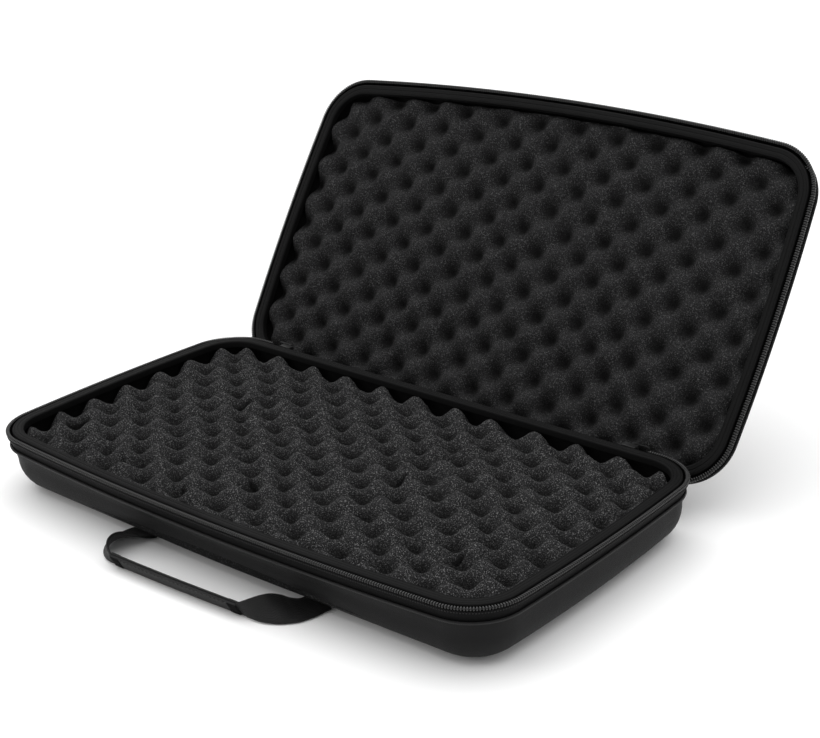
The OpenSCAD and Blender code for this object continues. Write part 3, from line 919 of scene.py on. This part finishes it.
foamPads = {
    "bottom": {
        "level": 10.8 * mm, "height": 7.6 * mm, "sharp": 0.85, "pitchX": 37.5 * mm, "pitchY": 34 * mm,
        "peak": (-223 * mm, -99.9 * mm), "uneven": 1.0 * mm, "wander": 1.6 * mm, "edgeSag": 2.2 * mm,
        "centre": 31 * mm, "radius": 22.1 * mm, "floor": 3.9 * mm, "seed": 3, "material": "bottomFoam",
        # each slit: middle, direction in degrees, length
        "slits": [
            ((-207, -62), 35, 22), ((-172, -40), 38, 20), ((-150, -98), -52, 12), ((-120, -92), -50, 16),
            ((-128, 40), 40, 18), ((-52, -96), -50, 14), ((96, -104), 35, 20), ((165, -60), 55, 14),
            ((-20, -60), -48, 10), ((60, 10), 42, 10)],
    },
    "lid": {
        "level": 8.4 * mm, "height": 6.2 * mm, "sharp": 0.66, "pitchX": 37.5 * mm, "pitchY": 34 * mm,
        "peak": (1.7 * mm, -114 * mm), "uneven": 0.8 * mm, "wander": 1.4 * mm, "edgeSag": 1.6 * mm,
        "centre": 19 * mm, "radius": 10.1 * mm, "floor": 3.9 * mm, "seed": 8, "material": "lidFoam",
        "slits": [],
    },
}
foamShape = {
    "cell": 1.5 * mm, "bowDrop": 14 * mm, "borderBand": 50 * mm, "sagReach": 5 * mm, "lumps": 0.06,
    "wallSteps": 5, "wallDrop": 1.5 * mm, "wallCrest": 0.3, "grain": 0.12, "sharp": 75,
    "shiftWaves": (160 * mm, 150 * mm), "tallWave": 90 * mm, "roughWave": 11 * mm, "roughCount": 9,
}
# The last value is the cut depth at which a slit's painted shade in the colour is full
slitShape = {"deep": 7 * mm, "half": 1.15, "sway": 1.6, "swayTurns": 5, "darkens": 6 * mm}


# Soft random field: a few slow waves with seeded phases
def slowWaves(seed, longest, count=7):
    draw = random.Random(seed)
    waves = [(draw.uniform(0.35, 1.0) * longest, draw.uniform(0, 2 * math.pi), draw.uniform(0, 2 * math.pi))
             for _ in range(count)]

    def field(x, y):
        return sum(math.sin(2 * math.pi * (x * math.cos(turn) + y * math.sin(turn)) / length + phase)
                   for length, turn, phase in waves) / math.sqrt(count)
    return field


def eggCrate(pad, x, y, shiftX, shiftY):
    x, y = x + pad["wander"] * shiftX(x, y), y + pad["wander"] * shiftY(x, y)
    wave = math.cos(2 * math.pi * (x - pad["peak"][0]) / pad["pitchX"]) \
        * math.cos(2 * math.pi * (y - pad["peak"][1]) / pad["pitchY"])
    return 2 * ((wave + 1) / 2) ** pad["sharp"] - 1


# How deep the slits cut at a point
def slitDepth(pad, x, y):
    deepest = 0.0
    for (midX, midY), degrees, length in pad["slits"]:
        turn = math.radians(degrees)
        across, ahead = x / mm - midX, y / mm - midY
        along = across * math.cos(turn) + ahead * math.sin(turn)
        sway = slitShape["sway"] * math.sin(along / length * slitShape["swayTurns"])
        beside = ahead * math.cos(turn) - across * math.sin(turn) - sway
        if abs(along) < length / 2:
            taper = math.cos(math.pi * along / length)
            deepest = max(deepest, slitShape["deep"] * taper * math.exp(-(beside / slitShape["half"]) ** 2))
    return deepest


def makeFoam(half):
    pad, setup, shape = foamPads[half], halves[half], foamShape
    edge = outline(foamInset, outlineShape["frontBow"] if half == "lid" else bowAt(half, shape["bowDrop"]))
    sides = []
    for first, second in zip(edge, edge[1:] + edge[:1]):
        long = math.dist(first, second)
        if long > 1e-9:
            sides.append((first[0], first[1], -(second[1] - first[1]) / long, (second[0] - first[0]) / long))

    def within(x, y):
        return min((x - startX) * inX + (y - startY) * inY for startX, startY, inX, inY in sides)

    lowX, highX = min(spot[0] for spot in edge), max(spot[0] for spot in edge)
    lowY, highY = min(spot[1] for spot in edge), max(spot[1] for spot in edge)
    countX, countY = round((highX - lowX) / shape["cell"]), round((highY - lowY) / shape["cell"])
    stepX, stepY = (highX - lowX) / countX, (highY - lowY) / countY
    kept, used = [], {}
    for row in range(countY):
        for column in range(countX):
            x, y = lowX + (column + 0.5) * stepX, lowY + (row + 0.5) * stepY
            toEnd = min(min(column, countX - 1 - column) * stepX, min(row, countY - 1 - row) * stepY)
            if toEnd < shape["borderBand"] and within(x, y) < 0:
                continue
            kept.append([(column, row), (column + 1, row), (column + 1, row + 1), (column, row + 1)])
            for corner in kept[-1]:
                used[corner] = used.get(corner, 0) + 1
    seed = pad["seed"]
    shiftX, shiftY = (slowWaves(seed + step, wave) for step, wave in enumerate(shape["shiftWaves"]))
    tall = slowWaves(seed + 2, shape["tallWave"])
    rough = slowWaves(seed + 3, shape["roughWave"], shape["roughCount"])
    draw = random.Random(seed + 4)
    points, index, paintedPitShades = [], {}, []
    for corner in used:
        x, y = lowX + corner[0] * stepX, lowY + corner[1] * stepY
        if used[corner] < 4:
            # pull the border onto the outline
            for _ in range(3):
                reach, inX, inY = min(((x - startX) * inX + (y - startY) * inY, inX, inY)
                                      for startX, startY, inX, inY in sides)
                x, y = x - reach * inX, y - reach * inY
            gap = 0.0
        else:
            gap = within(x, y)
        wave = eggCrate(pad, x, y, shiftX, shiftY)
        cut = slitDepth(pad, x, y)
        # painted shade share: 0 in a pit or a deep slit, 1 on a peak
        paintedPitShades.append((wave + 1) / 2 - cut / slitShape["darkens"])
        height = wave * pad["height"] * (1 + shape["lumps"] * tall(x, y))
        height += pad["uneven"] * (0.35 * rough(x, y) + 0.3 * tall(y, x))
        height += draw.uniform(-shape["grain"], shape["grain"]) * mm
        height -= pad["edgeSag"] * math.exp(-gap / shape["sagReach"]) + cut
        index[corner] = len(points)
        points.append((x, y, pad["level"] - height))
    work = bmesh.new()
    verts = [work.verts.new(point) for point in points]
    for corners in kept:
        work.faces.new([verts[index[corner]] for corner in corners])
    # walls: straight down from the border, then round into the floor
    middleY = (lowY + highY) / 2
    reachY = highY - middleY
    flat, start = setup["depth"] - pad["floor"], math.asin((pad["centre"] - foamInset) / pad["radius"])
    rim = [border for border in work.edges if border.is_boundary]
    for step in range(shape["wallSteps"]):
        turn, turnBefore = (start * (1 - max(step - back, 0) / 3) for back in (1, 2))
        made = bmesh.ops.extrude_edge_only(work, edges=rim)["geom"]
        rim = [part for part in made if isinstance(part, bmesh.types.BMEdge)]
        moved = [part for part in made if isinstance(part, bmesh.types.BMVert)]
        inset = pad["centre"] - pad["radius"] * math.sin(turn) - foamInset
        before = pad["centre"] - pad["radius"] * math.sin(turnBefore) - foamInset if step else 0
        level = flat - pad["radius"] * (1 - math.cos(turn))
        for vert in moved:
            vert.co.x *= (highX - inset) / (highX - before)
            vert.co.y = middleY + (vert.co.y - middleY) * (reachY - inset) / (reachY - before)
            vert.co.z = max(level, vert.co.z) if step else vert.co.z + shape["wallDrop"]
    bmesh.ops.holes_fill(work, edges=rim)
    mesh = bpy.data.meshes.new(half + "Foam")
    work.to_mesh(mesh)
    work.free()
    place = setup["place"]
    points = [place(vertex.co.x, vertex.co.y, vertex.co.z) for vertex in mesh.vertices]
    faces = [tuple(face.vertices) for face in mesh.polygons]
    bpy.data.meshes.remove(mesh)
    piece = makeObject(half + "Foam", points, faces)
    # painted shade for the colour, with a fixed partial shade on the side walls
    crest = piece.data.attributes.new("crest", "FLOAT", "POINT")
    crest.data.foreach_set("value", paintedPitShades + [shape["wallCrest"]] * (len(points) - len(paintedPitShades)))
    piece.data.set_sharp_from_angle(angle=math.radians(shape["sharp"]))
    finishPiece(piece, half, "foam", materials[pad["material"]], half + "_foam")
    return piece


for half in halves:
    makeFoam(half)
print("stage: foam")


# Carry handle: two webbing straps that run flat from the shell and fold into the sewn grip

handleShape = {
    "steps": 40, "lean": 120, "turn": 1.9, "lift": 0.2 * mm, "webbing": 25 * mm, "thick": 1.6 * mm,
    # loop, out and lead shape the path, twist delays the turn onto its edge, fold is where it narrows
    -1: {"loop": 5 * mm, "out": 21 * mm, "lead": 17 * mm, "twist": 1.4, "fold": 0.3},
    1: {"loop": 0, "out": 9 * mm, "lead": 26 * mm, "twist": 2.2, "fold": 0.45},
}
swing = joints["handle_swing"]["pos_m"]
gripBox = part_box("handle_grip")
gripLength = gripBox[1][0] - gripBox[0][0]
gripLean, gripTurn = math.radians(handleShape["lean"]), math.radians(handleShape["turn"])
gripAlong = Vector((math.cos(gripTurn), math.sin(gripTurn), 0))
gripMiddle = (gripBox[0] + gripBox[1]) / 2
gripMiddle.z = (handleShape["lift"] + handleShape["webbing"] / 4 * math.sin(gripLean)
                + handleShape["thick"] * abs(math.cos(gripLean)))
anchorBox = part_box("right_strap_anchor")
strapRoot = (anchorBox[0][0] + anchorBox[1][0]) / 2


def bezier(corners, share):
    first, second, third, fourth = corners
    left = 1 - share
    return (first * left ** 3 + second * 3 * left ** 2 * share
            + third * 3 * left * share ** 2 + fourth * share ** 3)


def strapPlan(side, share):
    path = handleShape[side]
    root = Vector((side * strapRoot, swing[1], 0))
    end = Vector((gripMiddle.x, gripMiddle.y, 0)) + gripAlong * side * gripLength / 2
    return bezier((root, root + Vector((side * path["loop"], -path["out"], 0)),
                   end + gripAlong * side * path["lead"], end), min(max(share, 0), 1))


# Middle of the strap and half its width as a vector: flat at the root, on its folded edge at the grip
def strapSpot(side, share):
    shape = handleShape
    ahead = (strapPlan(side, share + 0.01) - strapPlan(side, share - 0.01)).normalized()
    beside = Vector((-ahead.y, ahead.x, 0)) * side
    outward = Vector((side, 0, 0)).lerp(beside, min(4 * share, 1)).normalized()
    lean = gripLean * share ** shape[side]["twist"]
    across = outward * math.cos(lean) - Vector((0, 0, math.sin(lean)))
    fold = max((share - shape[side]["fold"]) / (1 - shape[side]["fold"]), 0)
    half = across * shape["webbing"] / 2 * (1 - fold / 2)
    return strapPlan(side, share) + Vector((0, 0, swing[2] + abs(half.z))), half


# Section of a band with rounded selvedges, as (share of the half width, share of the half thickness)
def bandSection():
    flat = [-0.94 + 1.88 * step / 8 for step in range(9)]
    under, over = [(wide, -1) for wide in flat], [(wide, 1) for wide in reversed(flat)]
    return [(-1, -0.3), *under, (1, -0.3), (1, 0.3), *over, (-1, 0.3)]


def makeStrap(side, name, node):
    shape, section = handleShape, bandSection()
    rings = []
    for step in range(shape["steps"] + 1):
        share = step / shape["steps"]
        spot, half = strapSpot(side, share)
        ahead = strapSpot(side, min(share + 0.02, 1))[0] - strapSpot(side, max(share - 0.02, 0))[0]
        up = half.cross(ahead).normalized() * shape["thick"] / 2 * side
        rings.append([spot + half * wide + up * high for wide, high in section])
    piece = ringMesh(name, rings, tube=False, caps=True, sharp=50)
    return finishPiece(piece, "handle", "webbing", materials["webbing"], node)


makeStrap(-1, "leftStrap", "left_strap")
makeStrap(1, "rightStrap", "right_strap")


# Grip: the webbing folded in two, its layers a little open along the raised edge, sewn near that edge

gripShape = {
    "steps": 40, "open": 0.5 * mm, "bow": 0.8 * mm,
    # one face from the open edge to the fold, as shares of the half width and the thickness
    "face": [(-1, 0.55), (-0.93, 1), (-0.5, 1.03), (0, 1.04), (0.5, 1.03), (0.86, 0.98), (0.98, 0.5)],
    "stitch": 2.4 * mm, "gap": 1.3 * mm, "fromEdge": 1.6 * mm, "thread": 0.28 * mm,
    "stitchArch": [(0, 0.9), (0.25, 1.12), (0.75, 1.12), (1, 0.9)],
    "tackLength": 8 * mm, "tackThread": 0.34 * mm, "tackRows": 15, "tackMargin": 0.7 * mm,
    "tackSlant": 0.5 * mm,
    "tackArch": [(-1, 0.95), (-0.92, 1.14), (0, 1.22), (0.92, 1.14), (1, 0.95)],
}


def gripPlace(along, across, up):
    beside = gripAlong.cross(Vector((0, 0, 1)))
    low = beside * math.cos(gripLean) - Vector((0, 0, math.sin(gripLean)))
    bend = gripShape["bow"] * math.cos(math.pi * along / gripLength)
    return gripMiddle + gripAlong * along + low * across + gripAlong.cross(low) * -up + beside * bend


def makeGrip():
    half, thick = handleShape["webbing"] / 4, handleShape["thick"]
    split = gripShape["open"] / 2
    upper = [(half * across, thick * up) for across, up in gripShape["face"]]
    lower = [(across, -up) for across, up in reversed(upper)]
    section = [(-half, split), *upper, (half, 0), *lower, (-half, -split),
               (-half * 0.6, -split * 0.4), (-half * 0.6, split * 0.4)]
    rings = []
    for step in range(gripShape["steps"] + 1):
        along = gripLength * (step / gripShape["steps"] - 0.5)
        rings.append([gripPlace(along, across, up) for across, up in section])
    piece = ringMesh("handleGrip", rings, tube=False, caps=True, sharp=50)
    return finishPiece(piece, "handle", "webbing", materials["webbing"], "handle_grip")


threadShape = {"sides": 6, "tip": 0.35}


# Thread between points, lying on a surface: a thin tube with pointed ends
def threadTube(points, radius):
    rings = []
    for index, point in enumerate(points):
        ahead = points[min(index + 1, len(points) - 1)] - points[max(index - 1, 0)]
        across = ahead.cross(Vector((0.3, 0.2, 1))).normalized()
        above = across.cross(ahead).normalized()
        size = radius * (threadShape["tip"] if index in (0, len(points) - 1) else 1)
        rings.append([point + (across * math.cos(turn) + above * math.sin(turn)) * size
                      for turn in fullTurn(threadShape["sides"])])
    return rings


def joinTubes(name, tubes):
    points, faces = [], []
    for rings in tubes:
        base, size = len(points), len(rings[0])
        points += [point for ring in rings for point in ring]
        for index in range(len(rings) - 1):
            for step in range(size):
                beside, low, high = (step + 1) % size, base + index * size, base + (index + 1) * size
                faces.append((low + step, low + beside, high + beside, high + step))
        faces.append(tuple(base + step for step in range(size)))
        faces.append(tuple(base + (len(rings) - 1) * size + step for step in range(size)))
    return makeObject(name, points, faces)


def makeGripStitches():
    shape, thick = gripShape, handleShape["thick"]
    across = shape["fromEdge"] - handleShape["webbing"] / 4
    tubes = []
    along = -gripLength / 2 + shape["tackLength"] + shape["gap"]
    while along + shape["stitch"] < gripLength / 2 - shape["tackLength"]:
        for face in (1, -1):
            tubes.append(threadTube([gripPlace(along + share * shape["stitch"], across, face * thick * lift)
                                     for share, lift in shape["stitchArch"]], shape["thread"]))
        along += shape["stitch"] + shape["gap"]
    piece = joinTubes("gripStitches", tubes)
    return finishPiece(piece, "handle", "stitching", materials["thread"])


# Bar tack: close zigzag stitching across the grip's end, on both faces
def makeTack(side, name, node):
    shape, thick = gripShape, handleShape["thick"]
    half = handleShape["webbing"] / 4 - shape["tackMargin"]
    tubes = []
    for face in (1, -1):
        for row in range(shape["tackRows"]):
            share = row / (shape["tackRows"] - 1)
            along = side * (gripLength / 2 - shape["tackLength"] * (0.06 + 0.88 * share))
            slant = shape["tackSlant"] if row % 2 else -shape["tackSlant"]
            tubes.append(threadTube([gripPlace(along + slant * across, half * across, face * thick * lift)
                                     for across, lift in shape["tackArch"]], shape["tackThread"]))
    piece = joinTubes(name, tubes)
    return finishPiece(piece, "handle", "stitching", materials["tackThread"], node)


makeGrip()
makeGripStitches()
makeTack(-1, "leftBarTack", "left_bar_tack")
makeTack(1, "rightBarTack", "right_bar_tack")
print("stage: handle")


# Fabric hinge: one cloth in two pieces that bend over the fold lines, with a stitched row on each flange

hingeShape = {
    "thick": 1.4 * mm, "steps": 8, "wallSteps": 4, "columns": 44, "wallLap": 7 * mm, "leave": 2.2 * mm,
    "clear": 0.1 * mm, "bend": 5 * mm, "fromEdge": 2 * mm, "stitch": 2.6 * mm, "gap": 1.4 * mm,
    "thread": 0.3 * mm, "stitchArch": [(0, -0.3), (0.25, 0.25), (0.75, 0.25), (1, -0.3)],
}
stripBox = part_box("hinge_strip")
stripHalf = stripBox[1][0]
foldLow, foldHigh = Vector((0, foldY, foldZ)), Vector((0, openY, openZ))


# Path of the cloth in the plane across the hinge, from a half's wall to the middle of the strip
def hingePath(half):
    path, shape = [], hingeShape
    for step in range(shape["wallSteps"] + 1):
        drop = seamDrop + shape["wallLap"] + (shape["leave"] - shape["wallLap"]) * step / shape["wallSteps"]
        out = halfWidth - faceInset(half, drop) + shape["thick"] / 2 + shape["clear"]
        path.append(halves[half]["place"](0, out, drop))
    turn = path.pop()
    fold = foldLow if half == "bottom" else foldHigh
    middle = (foldLow + foldHigh) / 2
    for step in range(shape["steps"] + 1):
        share = step / shape["steps"]
        path.append(turn * (1 - share) ** 2 + fold * 2 * share * (1 - share)
                    + fold.lerp(middle, 0.3) * share ** 2)
    return path + [fold.lerp(middle, 0.65), middle]


def makeHingeCloth(half, *nodes):
    path, shape, sheets = hingePath(half), hingeShape, []
    columns = shape["columns"]
    for face in (1, -1):
        for index, spot in (enumerate(path) if face > 0 else reversed(list(enumerate(path)))):
            ahead = path[min(index + 1, len(path) - 1)] - path[max(index - 1, 0)]
            out = Vector((1, 0, 0)).cross(ahead).normalized() * shape["thick"] / 2 * face
            sheets.append([spot + out + Vector((stripHalf * (2 * column / columns - 1), 0, 0))
                           for column in range(columns + 1)])
    piece = ringMesh(half + "HingeCloth", sheets, around=False, caps=True, sharp=50)
    finishPiece(piece, None, "hinge_fabric", materials["hingeCloth"], *nodes)
    fold = foldLow if half == "bottom" else foldHigh
    ahead = ((foldLow + foldHigh) / 2 - fold).normalized() * shape["bend"] / 2
    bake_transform(piece)
    return piece


# Row of stitches that holds the cloth to a half's wall
def makeHingeStitches(half):
    shape = hingeShape
    drop = seamDrop + shape["wallLap"] - shape["fromEdge"]
    out = halfWidth - faceInset(half, drop) + shape["thick"] + shape["clear"]
    tubes = []
    place = halves[half]["place"]
    along = -stripHalf + shape["fromEdge"]
    while along + shape["stitch"] < stripHalf - shape["fromEdge"]:
        tubes.append(threadTube([place(along + share * shape["stitch"], out + lift * mm, drop)
                                 for share, lift in shape["stitchArch"]], shape["thread"]))
        along += shape["stitch"] + shape["gap"]
    piece = joinTubes(half + "HingeStitches", tubes)
    return finishPiece(piece, half, "stitching", materials["thread"])


makeHingeCloth("bottom", "bottom_hinge_flange", "hinge_strip")
makeHingeCloth("lid", "lid_hinge_flange")
for half in halves:
    makeHingeStitches(half)
print("stage: hinge")


# Small metal parts keep their CAD form, with their edges rounded

smallParts = {
    "sliderEdge": 0.35 * mm, "tabEdge": 0.25 * mm, "pinEdge": 0.12 * mm, "bevelSteps": 3, "bevelFrom": 35,
}


def roundEdges(node, name, body, width):
    source = frame["nodes"][node].data
    work = bmesh.new()
    work.from_mesh(source)
    bmesh.ops.remove_doubles(work, verts=work.verts, dist=0.002 * mm)
    bmesh.ops.dissolve_limit(work, angle_limit=math.radians(2), verts=work.verts, edges=work.edges)
    mesh = bpy.data.meshes.new(name)
    work.to_mesh(mesh)
    work.free()
    piece = bpy.data.objects.new(name, mesh)
    scene.collection.objects.link(piece)
    bevel = piece.modifiers.new("bevel", "BEVEL")
    bevel.width = width
    bevel.segments = smallParts["bevelSteps"]
    bevel.limit_method = "ANGLE"
    bevel.angle_limit = math.radians(smallParts["bevelFrom"])
    bevel.harden_normals = True
    mesh.polygons.foreach_set("use_smooth", [True] * len(mesh.polygons))
    return finishPiece(piece, body, "slider_metal", materials["enamel"], node)


def dressNode(node, material):
    slots = frame["nodes"][node].data.materials
    slots.clear()
    slots.append(material)


for side in ("left", "right"):
    roundEdges(side + "_zip_slider", side + "Slider", side + "_slider", smallParts["sliderEdge"])
    roundEdges(side + "_pull_tab", side + "PullTab", side + "_pull", smallParts["tabEdge"])
    roundEdges(side + "_pull_pin", side + "PullPin", side + "_slider", smallParts["pinEdge"])
    dressNode(side + "_strap_anchor", materials["webbing"])
for half in halves:
    dressNode(half + "_lining", materials["liningCloth"])
print("stage: small parts")
